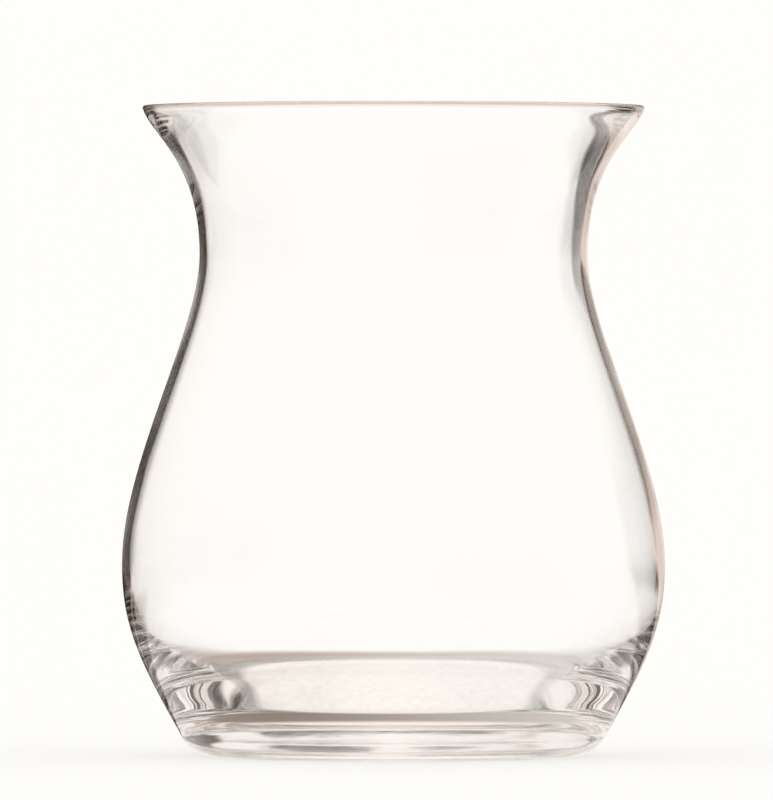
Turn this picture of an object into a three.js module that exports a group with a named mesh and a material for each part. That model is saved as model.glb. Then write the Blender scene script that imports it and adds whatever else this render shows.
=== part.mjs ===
// A posy vase: one piece of clear blown glass with a heavy base, a full belly, a drawn-in waist
// and a flared rim that is cut flat. Millimetres and degrees, +Z up, and the origin is the middle
// of the foot on the surface that the vase stands on.
import * as THREE from "three";

// Heights above the foot
const height = 170;
const waistHeight = 131;
const bellyHeight = 50;

// Outside of the glass
const rimRadius = 65.6;
const waistRadius = 50.7;
const bellyRadius = 71;
const footRadius = 47; // edge of the flat, polished foot
const heelRound = 9.4; // rounding between the foot and the side
const heelLean = 29.6; // lean of the side out from the vertical, just above the heel
const rimLean = 17; // lean of the flare out from the vertical, at the rim

// Thickness of the glass
const rimWall = 3; // across the cut rim
const waistWall = 1.9;
const bellyWall = 2.2;
const floorThickness = 10.8;
const heelWall = 10.4; // across the glass at the level of the inside floor
const heelWedge = 12.4; // how much more the inside leans there, so that the wall thins upwards
const floorRound = 14; // rounding between the inside floor and the wall
const rimEase = 0.7; // rounding of both edges of the cut rim

// How far each curve holds its first direction, as a share of that curve's own rise
const outerHeelPull = 0.515;
const outerBellyPull = 0.347;
const innerHeelPull = 0.35;
const innerBellyPull = 0.55;
const shoulderPull = 0.33; // up from the belly
const neckPull = 0.245; // down from the waist
const outerThroatPull = 0.641; // up from the waist
const outerRimPull = 0.195; // down from the rim
const innerThroatPull = 0.74; // later than outside, so that the glass thickens under the rim
const innerRimPull = 0.1;

// Fineness of the outline and of the turn around the axis
const heelSteps = 5;
const rimSteps = 3;
const curveSteps = 8;
const stepsAround = 64;

const glass = new THREE.MeshStandardMaterial({
  name: "clear_glass",
  color: 0xf4f6f3,
  roughness: 0.03,
  metalness: 0,
  transparent: true,
  opacity: 0.35,
});

// The point that lies a given length from a start, up along a line that leans out from the vertical.
function alongLean(start, lean, length) {
  const angle = THREE.MathUtils.degToRad(lean);
  return new THREE.Vector2(
    start.x + length * Math.sin(angle),
    start.y + length * Math.cos(angle),
  );
}

// The radius of an outline at a level between two of its points.
function radiusAt(outline, level) {
  const above = outline.findIndex((point) => point.y > level);
  const [low, high] = outline.slice(above - 1, above + 1);
  return THREE.MathUtils.mapLinear(level, low.y, high.y, low.x, high.x);
}

// One surface of the glass, from the edge of its flat bottom up to the rim: an arc at the heel, then
// three curves that run upright through the belly and the waist.
function surfaceOutline({ flat, level, round, lean, belly, waist, rim, top, pulls }) {
  const heelArc = new THREE.EllipseCurve(
    flat,
    level + round,
    round,
    round,
    -Math.PI / 2,
    -THREE.MathUtils.degToRad(lean),
  );
  const heelTop = heelArc.getPoint(1);
  const bellyPoint = new THREE.Vector2(belly, bellyHeight);
  const waistPoint = new THREE.Vector2(waist, waistHeight);
  const rimPoint = new THREE.Vector2(rim, top);
  const sideRise = bellyHeight - heelTop.y;
  const neckRise = waistHeight - bellyHeight;
  const flareRise = top - waistHeight;

  const side = new THREE.CubicBezierCurve(
    heelTop,
    alongLean(heelTop, lean, pulls.heel * sideRise),
    new THREE.Vector2(belly, bellyHeight - pulls.belly * sideRise),
    bellyPoint,
  );
  const neck = new THREE.CubicBezierCurve(
    bellyPoint,
    new THREE.Vector2(belly, bellyHeight + shoulderPull * neckRise),
    new THREE.Vector2(waist, waistHeight - neckPull * neckRise),
    waistPoint,
  );
  const flare = new THREE.CubicBezierCurve(
    waistPoint,
    new THREE.Vector2(waist, waistHeight + pulls.throat * flareRise),
    alongLean(rimPoint, rimLean, -pulls.rim * flareRise),
    rimPoint,
  );
  return [
    ...heelArc.getPoints(heelSteps),
    ...side.getPoints(curveSteps).slice(1),
    ...neck.getPoints(curveSteps).slice(1),
    ...flare.getPoints(curveSteps).slice(1),
  ];
}

// The rounded edge from one upright face of the glass over to the cut of the rim.
function rimEdge(face, cut) {
  const edge = new THREE.QuadraticBezierCurve(
    new THREE.Vector2(face, height - rimEase),
    new THREE.Vector2(face, height),
    new THREE.Vector2(cut, height),
  );
  return edge.getPoints(rimSteps).slice(1);
}

function vaseBody() {
  const rimInside = rimRadius - rimWall;
  const outside = surfaceOutline({
    flat: footRadius,
    level: 0,
    round: heelRound,
    lean: heelLean,
    belly: bellyRadius,
    waist: waistRadius,
    rim: rimRadius,
    top: height - rimEase,
    pulls: {
      heel: outerHeelPull,
      belly: outerBellyPull,
      throat: outerThroatPull,
      rim: outerRimPull,
    },
  });
  const insideLean = heelLean + heelWedge;
  const insideCorner = radiusAt(outside, floorThickness) - heelWall;
  const cornerAngle = THREE.MathUtils.degToRad(90 - insideLean);
  const inside = surfaceOutline({
    flat: insideCorner - floorRound * Math.tan(cornerAngle / 2),
    level: floorThickness,
    round: floorRound,
    lean: insideLean,
    belly: bellyRadius - bellyWall,
    waist: waistRadius - waistWall,
    rim: rimInside,
    top: height - rimEase,
    pulls: {
      heel: innerHeelPull,
      belly: innerBellyPull,
      throat: innerThroatPull,
      rim: innerRimPull,
    },
  });
  const outline = [
    new THREE.Vector2(0, 0),
    ...outside,
    ...rimEdge(rimRadius, rimRadius - rimEase),
    ...rimEdge(rimInside, rimInside + rimEase).reverse(),
    ...inside.reverse(),
    new THREE.Vector2(0, floorThickness),
  ];
  const geometry = new THREE.LatheGeometry(outline, stepsAround);
  geometry.rotateX(Math.PI / 2); // the lathe turns about Y
  const mesh = new THREE.Mesh(geometry, glass);
  mesh.name = "vase_body";
  return mesh;
}

const vase = new THREE.Group();
vase.name = "posy_vase";
vase.add(vaseBody());

export default vase;
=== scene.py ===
import math

import bpy
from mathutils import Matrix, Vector


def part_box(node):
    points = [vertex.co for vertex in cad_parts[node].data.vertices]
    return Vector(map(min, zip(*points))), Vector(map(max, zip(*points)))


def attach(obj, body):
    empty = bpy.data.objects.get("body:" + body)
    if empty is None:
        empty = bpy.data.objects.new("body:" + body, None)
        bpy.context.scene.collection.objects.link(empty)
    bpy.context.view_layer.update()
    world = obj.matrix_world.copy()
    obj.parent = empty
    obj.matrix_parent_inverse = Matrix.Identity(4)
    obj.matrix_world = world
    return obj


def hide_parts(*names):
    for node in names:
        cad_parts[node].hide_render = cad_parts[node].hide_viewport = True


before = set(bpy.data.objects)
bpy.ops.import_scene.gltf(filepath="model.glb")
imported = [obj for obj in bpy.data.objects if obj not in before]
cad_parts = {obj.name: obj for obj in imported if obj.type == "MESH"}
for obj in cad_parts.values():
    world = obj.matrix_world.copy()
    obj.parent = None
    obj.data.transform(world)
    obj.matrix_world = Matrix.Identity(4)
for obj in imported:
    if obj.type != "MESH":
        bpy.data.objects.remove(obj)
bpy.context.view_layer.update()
scene = bpy.context.scene
scene.view_settings.view_transform = "Standard"
bounces = 128  # light is mirrored many times inside the thick base
scene.cycles.max_bounces = bounces
scene.cycles.glossy_bounces = bounces
scene.cycles.transmission_bounces = bounces
millimetre = 0.001
print("frame loaded:", sorted(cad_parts))


# small helpers for node trees
def addNode(tree, kind, **settings):
    node = tree.nodes.new(kind)
    for name, value in settings.items():
        setattr(node, name, value)
    return node


def feed(tree, socket, value):
    if isinstance(value, bpy.types.NodeSocket):
        tree.links.new(value, socket)
    else:
        socket.default_value = value


def mathNode(tree, operation, first, second=0.0):
    node = addNode(tree, "ShaderNodeMath", operation=operation)
    feed(tree, node.inputs[0], first)
    feed(tree, node.inputs[1], second)
    return node.outputs[0]


def mapRange(tree, value, fromLow, fromHigh, toLow, toHigh, kind="SMOOTHSTEP"):
    node = addNode(tree, "ShaderNodeMapRange", interpolation_type=kind)
    for name, given in zip(("Value", "From Min", "From Max", "To Min", "To Max"),
                           (value, fromLow, fromHigh, toLow, toHigh)):
        feed(tree, node.inputs[name], given)
    return node.outputs["Result"]


def atLeast(tree, count, times):
    return mathNode(tree, "GREATER_THAN", count, times - 0.5)


def atMost(tree, count, times):
    return mathNode(tree, "LESS_THAN", count, times + 0.5)


# the vase: one outline of glass turned about its upright axis
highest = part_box("vase_body")[1]  # the upper corner of the CAD vase
vase = {
    "Height": highest.z,
    "Belly Radius": highest.x,
    "Belly Height": 50 * millimetre,
    "Waist Height": 131 * millimetre,
    "Waist Radius": 50.7 * millimetre,
    "Rim Radius": 65.6 * millimetre,
    "Rim Lean": math.radians(17),
    "Foot Radius": 47 * millimetre,
    "Heel Round": 9.4 * millimetre,
    "Heel Lean": math.radians(29.6),
    "Rim Wall": 3 * millimetre,
    "Waist Wall": 1.9 * millimetre,
    "Belly Wall": 2.2 * millimetre,
    "Rim Ease": 0.7 * millimetre,
    "Floor Thickness": 10.8 * millimetre,
    "Floor Radius": 41.9 * millimetre,
    "Floor Round": 14 * millimetre,
    "Floor Lean": math.radians(42),
    "Ripple": 0.06 * millimetre,  # how far the hand-worked surface wanders
    "Steps Around": 256,
    "Steps Along": 26,
}
pulls = {  # how far each curve holds its first direction, as a share of its own rise
    "outside": {"heel": 0.515, "belly": 0.347, "throat": 0.641, "rim": 0.195},
    "inside": {"heel": 0.35, "belly": 0.55, "throat": 0.74, "rim": 0.1},
    "shoulder": 0.33, "neck": 0.245,
}
ripple = {  # the slow waves of hand-worked glass
    "scale": (24.0, 24.0, 42.0),  # waves to the metre, closer together up the wall
    "offFoot": 12 * millimetre,  # how far above the foot they are full
    "offRim": 8 * millimetre,  # how far below the rim they start to die out
}
weld = 0.002 * millimetre  # joins the legs of the outline where they meet


# a group that turns one Bezier leg of the outline about Z, x of a point being its radius
def legTree():
    tree = bpy.data.node_groups.new("turnedLeg", "GeometryNodeTree")
    for name in ("Start", "Start Handle", "End Handle", "End"):
        tree.interface.new_socket(name, in_out="INPUT", socket_type="NodeSocketVector")
    for name in ("Steps Along", "Steps Around"):
        tree.interface.new_socket(name, in_out="INPUT", socket_type="NodeSocketInt")
    tree.interface.new_socket("Mesh", in_out="OUTPUT", socket_type="NodeSocketGeometry")
    given = addNode(tree, "NodeGroupInput").outputs
    grid = addNode(tree, "GeometryNodeMeshGrid")
    feed(tree, grid.inputs["Vertices X"], mathNode(tree, "ADD", given["Steps Along"], 1))
    feed(tree, grid.inputs["Vertices Y"], mathNode(tree, "ADD", given["Steps Around"], 1))
    spot = addNode(tree, "ShaderNodeSeparateXYZ")
    feed(tree, spot.inputs[0], addNode(tree, "GeometryNodeInputPosition").outputs[0])
    along = mathNode(tree, "ADD", spot.outputs["X"], 0.5)
    turn = mathNode(tree, "MULTIPLY", mathNode(tree, "SUBTRACT", 0.5, spot.outputs["Y"]), math.tau)
    points = [given[name] for name in ("Start", "Start Handle", "End Handle", "End")]
    while len(points) > 1:  # de Casteljau: blend neighbours until one point is left
        blended = []
        for first, second in zip(points, points[1:]):
            mix = addNode(tree, "ShaderNodeMix", data_type="VECTOR")
            feed(tree, mix.inputs["Factor"], along)
            feed(tree, mix.inputs[4], first)
            feed(tree, mix.inputs[5], second)
            blended.append(mix.outputs[1])
        points = blended
    spin = addNode(tree, "ShaderNodeVectorRotate", rotation_type="Z_AXIS")
    feed(tree, spin.inputs["Vector"], points[0])
    feed(tree, spin.inputs["Angle"], turn)
    place = addNode(tree, "GeometryNodeSetPosition")
    feed(tree, place.inputs["Geometry"], grid.outputs["Mesh"])
    feed(tree, place.inputs["Position"], spin.outputs[0])
    feed(tree, addNode(tree, "NodeGroupOutput").inputs[0], place.outputs[0])
    return tree


# the whole outline, leg by leg from the middle of the foot over the rim to the inside floor
def vaseTree(glass):
    tree = bpy.data.node_groups.new("turnedVase", "GeometryNodeTree")
    leg = legTree()
    for name, value in vase.items():
        kind = "NodeSocketInt" if isinstance(value, int) else "NodeSocketFloat"
        tree.interface.new_socket(name, in_out="INPUT", socket_type=kind)
    tree.interface.new_socket("Mesh", in_out="OUTPUT", socket_type="NodeSocketGeometry")
    size = addNode(tree, "NodeGroupInput").outputs
    join = addNode(tree, "GeometryNodeJoinGeometry")

    def add(first, second):
        return mathNode(tree, "ADD", first, second)

    def less(first, second):
        return mathNode(tree, "SUBTRACT", first, second)

    def times(first, second):
        return mathNode(tree, "MULTIPLY", first, second)

    def point(radius, level):
        node = addNode(tree, "ShaderNodeCombineXYZ")
        feed(tree, node.inputs["X"], radius)
        feed(tree, node.inputs["Z"], level)
        return radius, level, node.outputs[0]

    def leaning(start, lean, length):
        out = times(length, mathNode(tree, "SINE", lean))
        up = times(length, mathNode(tree, "COSINE", lean))
        return point(add(start[0], out), add(start[1], up))

    def turnLeg(start, startHandle, endHandle, end, inside=False):
        node = addNode(tree, "GeometryNodeGroup", node_tree=leg)
        corners = (end, endHandle, startHandle, start) if inside else (start, startHandle, endHandle, end)
        for name, corner in zip(("Start", "Start Handle", "End Handle", "End"), corners):
            feed(tree, node.inputs[name], corner[2])
        for name in ("Steps Along", "Steps Around"):
            feed(tree, node.inputs[name], size[name])
        tree.links.new(node.outputs[0], join.inputs[0])

    def straightLeg(start, end, inside=False):
        turnLeg(start, start, end, end, inside)

    # an arc from the flat bottom into the leaning side, as one Bezier
    def heelLeg(flat, level, roundness, lean, inside):
        bend = less(math.pi / 2, lean)
        hold = times(times(roundness, 4 / 3), mathNode(tree, "TANGENT", times(bend, 0.25)))
        start = point(flat, level)
        end = point(add(flat, times(roundness, mathNode(tree, "COSINE", lean))),
                    add(level, times(roundness, less(1.0, mathNode(tree, "SINE", lean)))))
        turnLeg(start, point(add(flat, hold), level), leaning(end, lean, times(hold, -1.0)), end, inside)
        return end

    # one face of the glass from its heel to the rim
    def faceLegs(heelTop, lean, belly, waist, rim, top, inside):
        hold = pulls["inside" if inside else "outside"]
        sideRise = less(size["Belly Height"], heelTop[1])
        neckRise = less(size["Waist Height"], size["Belly Height"])
        flareRise = less(top, size["Waist Height"])
        bellyPoint = point(belly, size["Belly Height"])
        waistPoint = point(waist, size["Waist Height"])
        rimPoint = point(rim, top)
        turnLeg(heelTop, leaning(heelTop, lean, times(sideRise, hold["heel"])),
                point(belly, less(size["Belly Height"], times(sideRise, hold["belly"]))),
                bellyPoint, inside)
        turnLeg(bellyPoint, point(belly, add(size["Belly Height"], times(neckRise, pulls["shoulder"]))),
                point(waist, less(size["Waist Height"], times(neckRise, pulls["neck"]))),
                waistPoint, inside)
        turnLeg(waistPoint, point(waist, add(size["Waist Height"], times(flareRise, hold["throat"]))),
                leaning(rimPoint, size["Rim Lean"], times(flareRise, -hold["rim"])),
                rimPoint, inside)
        return rimPoint

    top = less(size["Height"], size["Rim Ease"])
    rimInside = less(size["Rim Radius"], size["Rim Wall"])
    straightLeg(point(0.0, 0.0), point(size["Foot Radius"], 0.0))
    outerHeel = heelLeg(size["Foot Radius"], 0.0, size["Heel Round"], size["Heel Lean"], False)
    outerRim = faceLegs(outerHeel, size["Heel Lean"], size["Belly Radius"], size["Waist Radius"],
                        size["Rim Radius"], top, False)
    innerHeel = heelLeg(size["Floor Radius"], size["Floor Thickness"], size["Floor Round"],
                        size["Floor Lean"], True)
    innerRim = faceLegs(innerHeel, size["Floor Lean"], less(size["Belly Radius"], size["Belly Wall"]),
                        less(size["Waist Radius"], size["Waist Wall"]), rimInside, top, True)
    straightLeg(point(0.0, size["Floor Thickness"]),
                point(size["Floor Radius"], size["Floor Thickness"]), True)
    hold = times(size["Rim Ease"], 2 / 3)
    cutOuter = point(less(size["Rim Radius"], size["Rim Ease"]), size["Height"])
    cutInner = point(add(rimInside, size["Rim Ease"]), size["Height"])
    turnLeg(outerRim, point(size["Rim Radius"], add(top, hold)),
            point(add(cutOuter[0], hold), size["Height"]), cutOuter)
    straightLeg(cutOuter, cutInner)
    turnLeg(innerRim, point(rimInside, add(top, hold)),
            point(less(cutInner[0], hold), size["Height"]), cutInner, True)

    merge = addNode(tree, "GeometryNodeMergeByDistance")
    feed(tree, merge.inputs["Geometry"], join.outputs[0])
    feed(tree, merge.inputs["Distance"], weld)

    # the ripple, held off the foot and the cut rim
    spot = addNode(tree, "GeometryNodeInputPosition").outputs[0]
    stretch = addNode(tree, "ShaderNodeVectorMath", operation="MULTIPLY")
    feed(tree, stretch.inputs[0], spot)
    feed(tree, stretch.inputs[1], ripple["scale"])
    wave = addNode(tree, "ShaderNodeTexNoise")
    feed(tree, wave.inputs["Vector"], stretch.outputs[0])
    feed(tree, wave.inputs["Scale"], 1.0)
    feed(tree, wave.inputs["Detail"], 1.0)
    spotParts = addNode(tree, "ShaderNodeSeparateXYZ")
    feed(tree, spotParts.inputs[0], spot)
    offFoot = mapRange(tree, spotParts.outputs["Z"], 0.0, ripple["offFoot"], 0.0, 1.0)
    offRim = mapRange(tree, spotParts.outputs["Z"], less(size["Height"], ripple["offRim"]), top, 1.0, 0.0)
    swing = times(times(less(wave.outputs["Fac"], 0.5), 2.0),  # the noise, from -1 to 1
                  times(size["Ripple"], times(offFoot, offRim)))
    push = addNode(tree, "ShaderNodeVectorMath", operation="SCALE")
    feed(tree, push.inputs[0], addNode(tree, "GeometryNodeInputNormal").outputs[0])
    feed(tree, push.inputs["Scale"], swing)
    rippled = addNode(tree, "GeometryNodeSetPosition")
    feed(tree, rippled.inputs["Geometry"], merge.outputs[0])
    feed(tree, rippled.inputs["Offset"], push.outputs[0])

    smooth = addNode(tree, "GeometryNodeSetShadeSmooth")
    feed(tree, smooth.inputs["Geometry"], rippled.outputs[0])
    realize = addNode(tree, "GeometryNodeRealizeInstances")
    feed(tree, realize.inputs["Geometry"], smooth.outputs[0])
    finish = addNode(tree, "GeometryNodeSetMaterial")
    feed(tree, finish.inputs["Geometry"], realize.outputs[0])
    feed(tree, finish.inputs["Material"], glass)
    feed(tree, addNode(tree, "NodeGroupOutput").inputs[0], finish.outputs[0])
    return tree


# clear glass: the cut rim is a little satin and carries a band of painted shade, the foot a little
# scuffed, and the wall faintly drawn
glassLook = {
    "tint": (1.0, 1.0, 1.0, 1.0),
    "rimPaintedShade": (0.68, 0.56, 0.5, 1.0),  # painted shade: a darker warm band along the cut rim
    "rimPaintedShadeFrom": 1.04 * millimetre,  # how far below the rim the painted shade starts
    "rimPaintedShadeFull": 0.56 * millimetre,
    "ior": 1.52,
    "rimRoughness": 0.1,
    "footRoughness": 0.16,
    "footFrom": 0.02 * millimetre,  # the scuffs are full up to here
    "footTo": 0.3 * millimetre,
    "scuffScale": 420.0,
    "scuffRange": (0.35, 0.65),  # the noise from least to most scuffed
    "scuffLeast": 0.4,
    "drawnScale": (60.0, 60.0, 9.0),  # waves drawn long up the wall
    "drawnDepth": 0.02 * millimetre,
}


def clearGlass():
    material = bpy.data.materials.new("clearGlass")
    material.use_nodes = True
    tree = material.node_tree
    shader = tree.nodes["Principled BSDF"]
    shader.inputs["IOR"].default_value = glassLook["ior"]
    shader.inputs["Transmission Weight"].default_value = 1.0
    spot = addNode(tree, "ShaderNodeTexCoord").outputs["Object"]
    level = addNode(tree, "ShaderNodeSeparateXYZ")
    feed(tree, level.inputs[0], spot)
    # the painted shade band along the rim, in the base colour
    edge = addNode(tree, "ShaderNodeMix", data_type="RGBA")
    feed(tree, edge.inputs["Factor"],
         mapRange(tree, level.outputs["Z"], vase["Height"] - glassLook["rimPaintedShadeFrom"],
                  vase["Height"] - glassLook["rimPaintedShadeFull"], 0.0, 1.0))
    feed(tree, edge.inputs[6], glassLook["tint"])
    feed(tree, edge.inputs[7], glassLook["rimPaintedShade"])
    feed(tree, shader.inputs["Base Color"], edge.outputs[2])
    scuffs = addNode(tree, "ShaderNodeTexNoise")
    feed(tree, scuffs.inputs["Vector"], spot)
    feed(tree, scuffs.inputs["Scale"], glassLook["scuffScale"])
    worn = mapRange(tree, scuffs.outputs["Fac"], *glassLook["scuffRange"], glassLook["scuffLeast"], 1.0)
    onRim = mapRange(tree, level.outputs["Z"], vase["Height"] - vase["Rim Ease"], vase["Height"],
                     0.0, glassLook["rimRoughness"])
    onFoot = mapRange(tree, level.outputs["Z"], glassLook["footFrom"], glassLook["footTo"],
                      glassLook["footRoughness"], 0.0)
    feed(tree, shader.inputs["Roughness"],
         mathNode(tree, "ADD", onRim, mathNode(tree, "MULTIPLY", onFoot, worn)))
    stretch = addNode(tree, "ShaderNodeVectorMath", operation="MULTIPLY")
    feed(tree, stretch.inputs[0], spot)
    feed(tree, stretch.inputs[1], glassLook["drawnScale"])
    drawn = addNode(tree, "ShaderNodeTexNoise")
    feed(tree, drawn.inputs["Vector"], stretch.outputs[0])
    feed(tree, drawn.inputs["Scale"], 1.0)
    bump = addNode(tree, "ShaderNodeBump")
    feed(tree, bump.inputs["Distance"], glassLook["drawnDepth"])
    feed(tree, bump.inputs["Height"], drawn.outputs["Fac"])
    feed(tree, shader.inputs["Normal"], bump.outputs["Normal"])
    return material


def makeVase():
    body = bpy.data.objects.new("vaseTurning", bpy.data.meshes.new("vaseTurning"))
    scene.collection.objects.link(body)
    modifier = body.modifiers.new("turning", "NODES")
    modifier.node_group = vaseTree(clearGlass())
    for item in modifier.node_group.interface.items_tree:
        if item.in_out == "INPUT":
            modifier[item.identifier] = vase[item.name]
    turned = body.evaluated_get(bpy.context.evaluated_depsgraph_get())
    mesh = bpy.data.meshes.new_from_object(turned)
    bpy.data.objects.remove(body)
    piece = bpy.data.objects.new("glassVase", mesh)
    scene.collection.objects.link(piece)
    return piece


glassVase = makeVase()
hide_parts("vase_body")
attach(glassVase, "root")
print("vase turned:", len(glassVase.data.polygons), "faces")


# the floor and the soft white surroundings
studio = {
    "white": (1.0, 0.992, 0.957, 1.0),
    "paper": (1.0, 1.0, 1.0, 1.0),
    "lit": (1.0, 0.945, 0.895, 1.0),  # painted reflection: lit parts of the room, as only light that has met the glass sees them
    "glow": (0.7, 0.57, 0.5, 1.0),  # where they fade
    "glowAt": 0.45,  # how deep a painted dark reflection is where it shows the glow
    "shade": (0.04, 0.029, 0.021, 1.0),  # painted shade: the dark parts of those painted reflections
    "shadowDepth": 0.3,  # how much of the shadow the floor shows
    "eyeLevel": 100 * millimetre,  # the height from which the room is told by direction
    "floorSize": 40.0,
    "floorDrop": 0.05 * millimetre,  # keeps the floor just clear of the polished foot
}
footShade = {  # a painted shadow on the table close around the foot, deeper on the left as if lit from the right, which only light through the glass sees
    "reach": 100 * millimetre,
    "rings": [  # share of the reach and colour there
        (0.40, (1.0, 0.91, 0.85, 1.0)),
        (0.44, (0.19, 0.145, 0.113, 1.0)),
        (0.51, (0.19, 0.145, 0.113, 1.0)),
        (0.56, (0.43, 0.315, 0.268, 1.0)),
        (0.66, (0.43, 0.315, 0.268, 1.0)),
        (0.87, (1.0, 1.0, 1.0, 1.0)),
    ],
    "left": (-50 * millimetre, 1.0),  # where the shade is full, and how deep it is there
    "right": (60 * millimetre, 0.5),
}
paintedDarkReflections = {  # painted dark reflections, seen only by light that has met the glass: turn from and to, rise from and to, fade in degrees, depth
    "trapped": [  # met by light that thick glass throws about
        (50, 150, 0, 85, 3, 1.0),
        (24, 56, -10, 2, 2, 1.0),
        (-36, -18, 0, 8, 2, 0.4),
        (-150, -66, 0, 85, 3, 1.0),
    ],
    "mirrored": [  # met by light that the inside of the wall mirrors
        (-36, -2, -14, 14, 4, 1.0),
        (-42, -18, -32, -14, 3, 1.0),
        (12, 30, -14, 14, 4, 0.45),
        (8, 24, 2, 14, 2, 0.8),
        (22, 32, 2, 14, 2, 1.0),
        (28, 60, -14, 14, 4, 1.0),
        (-45, 45, 16, 52, 4, 1.0),
        (-76, -16, -36, 14, 10, 0.6),
        (-122, -72, -14, 14, 10, 0.6),
        (105, 165, -28, 2, 10, 0.6),
    ],
    "grazed": [  # met by light that glances off the outside of the wall
        (-34, -1, -40, 40, 3, 1.0),
        (-58, -34, -52, -12, 3, 1.0),
        (4, 28, -40, 40, 4, 0.4),
        (10, 30, 2, 16, 2, 0.75),
        (28, 62, -40, 0, 4, 1.0),
        (28, 33, 0, 40, 3, 1.0),
    ],
}


# the room by direction, white but for its painted dark reflections
def roomTree():
    tree = bpy.data.node_groups.new("studioRoom", "ShaderNodeTree")
    tree.interface.new_socket("Direction", in_out="INPUT", socket_type="NodeSocketVector")
    unit = addNode(tree, "ShaderNodeVectorMath", operation="NORMALIZE")
    feed(tree, unit.inputs[0], addNode(tree, "NodeGroupInput").outputs[0])
    heading = addNode(tree, "ShaderNodeSeparateXYZ")
    feed(tree, heading.inputs[0], unit.outputs[0])
    turn = mathNode(tree, "DEGREES",
                    mathNode(tree, "ARCTAN2", heading.outputs["X"], heading.outputs["Y"]))
    rise = mathNode(tree, "DEGREES", mathNode(tree, "ARCSINE", heading.outputs["Z"]))

    def window(value, low, high, fade):
        opens = mapRange(tree, value, low - fade, low + fade, 0.0, 1.0)
        closes = mapRange(tree, value, high - fade, high + fade, 1.0, 0.0)
        return mathNode(tree, "MULTIPLY", opens, closes)

    out = addNode(tree, "NodeGroupOutput")
    for name, group in paintedDarkReflections.items():
        tree.interface.new_socket(name, in_out="OUTPUT", socket_type="NodeSocketColor")
        dark = 0.0
        for turnFrom, turnTo, riseFrom, riseTo, fade, depth in group:
            paintedPatch = mathNode(tree, "MULTIPLY", window(turn, turnFrom, turnTo, fade),
                              window(rise, riseFrom, riseTo, fade))
            dark = mathNode(tree, "MAXIMUM", dark, mathNode(tree, "MULTIPLY", paintedPatch, depth))
        ramp = addNode(tree, "ShaderNodeValToRGB")
        ramp.color_ramp.elements[0].color = studio["lit"]
        ramp.color_ramp.elements[1].color = studio["shade"]
        ramp.color_ramp.elements.new(studio["glowAt"]).color = studio["glow"]
        feed(tree, ramp.inputs[0], dark)
        feed(tree, out.inputs[name], ramp.outputs[0])
    return tree


# plain white to the eye, and to light that has met the glass the room with its painted dark reflections
def glassOrWhite(tree, room, direction):
    path = addNode(tree, "ShaderNodeLightPath").outputs
    around = addNode(tree, "ShaderNodeGroup", node_tree=room)
    feed(tree, around.inputs[0], direction)
    thrown = path["Glossy Depth"]  # how often glass has thrown the light back
    crossed = path["Transmission Depth"]  # how many faces of the glass it has crossed
    aFewTimes = mathNode(tree, "MULTIPLY", atLeast(tree, thrown, 1), atMost(tree, thrown, 3))
    shares = {
        "trapped": atLeast(tree, thrown, 2),
        "mirrored": mathNode(tree, "MULTIPLY", aFewTimes, atMost(tree, crossed, 2)),
        "grazed": mathNode(tree, "MULTIPLY", atLeast(tree, thrown, 1), atMost(tree, crossed, 0)),
    }
    colour = studio["white"]
    for name, share in shares.items():
        shown = addNode(tree, "ShaderNodeMix", data_type="RGBA")
        feed(tree, shown.inputs["Factor"], share)
        feed(tree, shown.inputs[6], colour)
        feed(tree, shown.inputs[7], around.outputs[name])
        colour = shown.outputs[2]
    return colour


# a flat stage piece with four corners
def makeSheet(name, corners, material):
    mesh = bpy.data.meshes.new(name)
    mesh.from_pydata(corners, [], [(0, 1, 2, 3)])
    mesh.materials.append(material)
    sheet = bpy.data.objects.new(name, mesh)
    scene.collection.objects.link(sheet)
    return sheet
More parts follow.
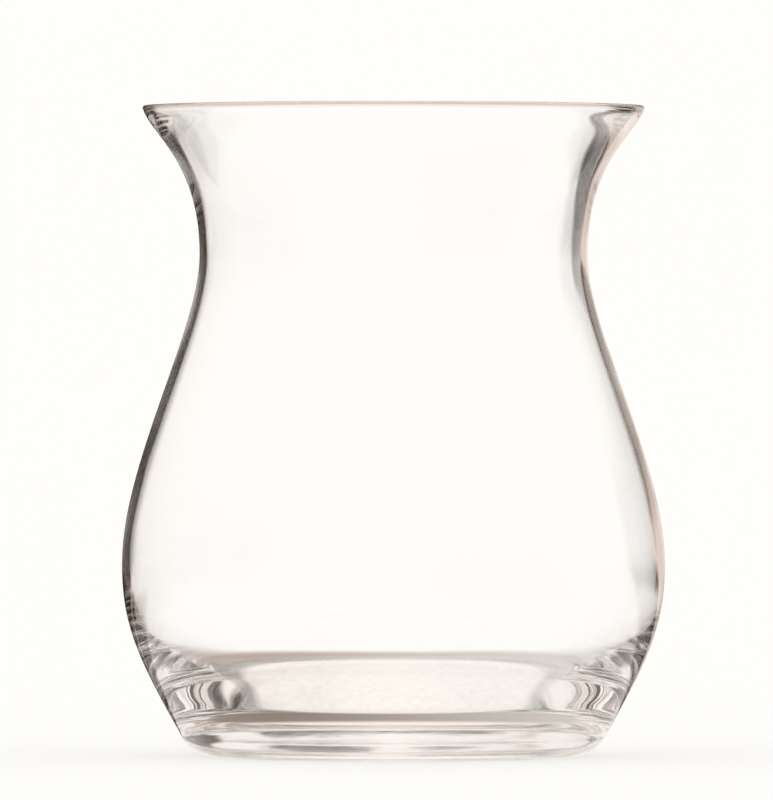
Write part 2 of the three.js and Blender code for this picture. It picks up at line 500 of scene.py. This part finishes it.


# white paper that keeps its shadow; to light that has met the glass it shows the painted dark reflections
# and a painted shadow ring close around the foot
def palePaper(room):
    material = bpy.data.materials.new("palePaper")
    material.use_nodes = True
    tree = material.node_tree
    shader = tree.nodes["Principled BSDF"]
    shader.inputs["Base Color"].default_value = studio["paper"]
    shader.inputs["Roughness"].default_value = 1.0
    shader.inputs["Specular IOR Level"].default_value = 0.0
    spot = addNode(tree, "ShaderNodeTexCoord").outputs["Object"]
    direction = addNode(tree, "ShaderNodeVectorMath", operation="SUBTRACT")
    feed(tree, direction.inputs[0], spot)
    feed(tree, direction.inputs[1], (0.0, 0.0, studio["eyeLevel"]))
    away = addNode(tree, "ShaderNodeVectorMath", operation="LENGTH")
    feed(tree, away.inputs[0], spot)
    ramp = addNode(tree, "ShaderNodeValToRGB")
    feed(tree, ramp.inputs[0], mathNode(tree, "DIVIDE", away.outputs["Value"], footShade["reach"]))
    rings = ramp.color_ramp.elements
    for share, colour in footShade["rings"]:
        rings.new(share).color = colour
    rings.remove(rings[-1])
    rings.remove(rings[0])
    across = addNode(tree, "ShaderNodeSeparateXYZ")
    feed(tree, across.inputs[0], spot)
    depth = mapRange(tree, across.outputs["X"], footShade["left"][0], footShade["right"][0],
                     footShade["left"][1], footShade["right"][1])
    path = addNode(tree, "ShaderNodeLightPath").outputs
    crossed = path["Transmission Depth"]
    strayed = mathNode(tree, "MULTIPLY", atLeast(tree, path["Glossy Depth"], 1),
                       atLeast(tree, crossed, 3))  # mirrored by the far wall first
    direct = mathNode(tree, "SUBTRACT", atLeast(tree, crossed, 1), strayed)
    # the painted shadow ring, multiplied in for light that has crossed the glass
    shaded = addNode(tree, "ShaderNodeMix", data_type="RGBA", blend_type="MULTIPLY")
    feed(tree, shaded.inputs["Factor"], mathNode(tree, "MULTIPLY", depth, direct))
    feed(tree, shaded.inputs[6], glassOrWhite(tree, room, direction.outputs[0]))
    feed(tree, shaded.inputs[7], ramp.outputs[0])
    glow = addNode(tree, "ShaderNodeEmission")
    feed(tree, glow.inputs["Color"], shaded.outputs[2])
    throughGlass = mathNode(tree, "MAXIMUM", path["Is Glossy Ray"], path["Is Transmission Ray"])
    seen = mathNode(tree, "MULTIPLY", path["Is Camera Ray"], 1.0 - studio["shadowDepth"])
    mix = addNode(tree, "ShaderNodeMixShader")
    feed(tree, mix.inputs[0], mathNode(tree, "MAXIMUM", throughGlass, seen))
    feed(tree, mix.inputs[1], shader.outputs[0])
    feed(tree, mix.inputs[2], glow.outputs[0])
    feed(tree, tree.nodes["Material Output"].inputs["Surface"], mix.outputs[0])
    return material


def makeFloor(room):
    half = studio["floorSize"] / 2
    corners = [(x, y, -studio["floorDrop"])
               for x, y in ((-half, -half), (half, -half), (half, half), (-half, half))]
    floor = makeSheet("paleFloor", corners, palePaper(room))


def makeWorld(room):
    world = bpy.data.worlds.new("softStudio")
    scene.world = world
    world.use_nodes = True
    tree = world.node_tree
    direction = addNode(tree, "ShaderNodeTexCoord").outputs["Generated"]
    background = tree.nodes["Background"]
    feed(tree, background.inputs["Color"], glassOrWhite(tree, room, direction))
    background.inputs["Strength"].default_value = 1.0


# a small sheet of painted shade behind the neck, a painted dark refraction which the eye meets only
# through the wall
neckShadeCard = {
    "middle": (92 * millimetre, 150 * millimetre, 162 * millimetre),
    "width": 44 * millimetre,
    "height": 76 * millimetre,
    "fade": 0.12,  # share of the card over which its edges fade
}


def makeShadeCard():
    material = bpy.data.materials.new("paintedShadeCard")
    material.use_nodes = True
    tree = material.node_tree
    tree.nodes.remove(tree.nodes["Principled BSDF"])
    path = addNode(tree, "ShaderNodeLightPath").outputs
    spot = addNode(tree, "ShaderNodeSeparateXYZ")
    feed(tree, spot.inputs[0], addNode(tree, "ShaderNodeTexCoord").outputs["Object"])
    cover = atMost(tree, path["Glossy Depth"], 0)
    half = 0.5  # the card is one wide and one high before it is scaled
    for axis in ("X", "Z"):
        reach = mathNode(tree, "ABSOLUTE", spot.outputs[axis])
        fading = mapRange(tree, reach, half - neckShadeCard["fade"], half, 1.0, 0.0)
        cover = mathNode(tree, "MULTIPLY", cover, fading)
    dark = addNode(tree, "ShaderNodeEmission")
    feed(tree, dark.inputs["Color"], studio["shade"])
    mix = addNode(tree, "ShaderNodeMixShader")
    feed(tree, mix.inputs[0], cover)
    feed(tree, mix.inputs[1], addNode(tree, "ShaderNodeBsdfTransparent").outputs[0])
    feed(tree, mix.inputs[2], dark.outputs[0])
    feed(tree, tree.nodes["Material Output"].inputs["Surface"], mix.outputs[0])
    corners = [(x, 0.0, z) for x, z in ((-half, -half), (half, -half), (half, half), (-half, half))]
    card = makeSheet("paintedShadeCard", corners, material)
    card.location = neckShadeCard["middle"]
    card.scale = (neckShadeCard["width"], 1.0, neckShadeCard["height"])
    card.visible_camera = False
    card.visible_diffuse = False
    card.visible_glossy = False
    card.visible_shadow = False


room = roomTree()
makeShadeCard()
makeFloor(room)
makeWorld(room)
print("studio set")


# the camera stands far back with a long lens, about two thirds up the vase
camera = {
    "distance": 3.26,
    "height": 109 * millimetre,
    "aimHeight": 93 * millimetre,
    "sideStep": -1.83 * millimetre,
    "lens": 561.0,
    "sensor": 36.0,
    "clipEnd": 100.0,
}


def makeCamera():
    data = bpy.data.cameras.new("photoCamera")
    data.lens = camera["lens"]
    data.sensor_width = camera["sensor"]
    data.clip_end = camera["clipEnd"]
    eye = bpy.data.objects.new("photoCamera", data)
    scene.collection.objects.link(eye)
    eye.location = (camera["sideStep"], -camera["distance"], camera["height"])
    aim = Vector((camera["sideStep"], 0.0, camera["aimHeight"]))
    eye.rotation_euler = (aim - eye.location).to_track_quat("-Z", "Y").to_euler()
    scene.camera = eye


makeCamera()
print("camera placed")
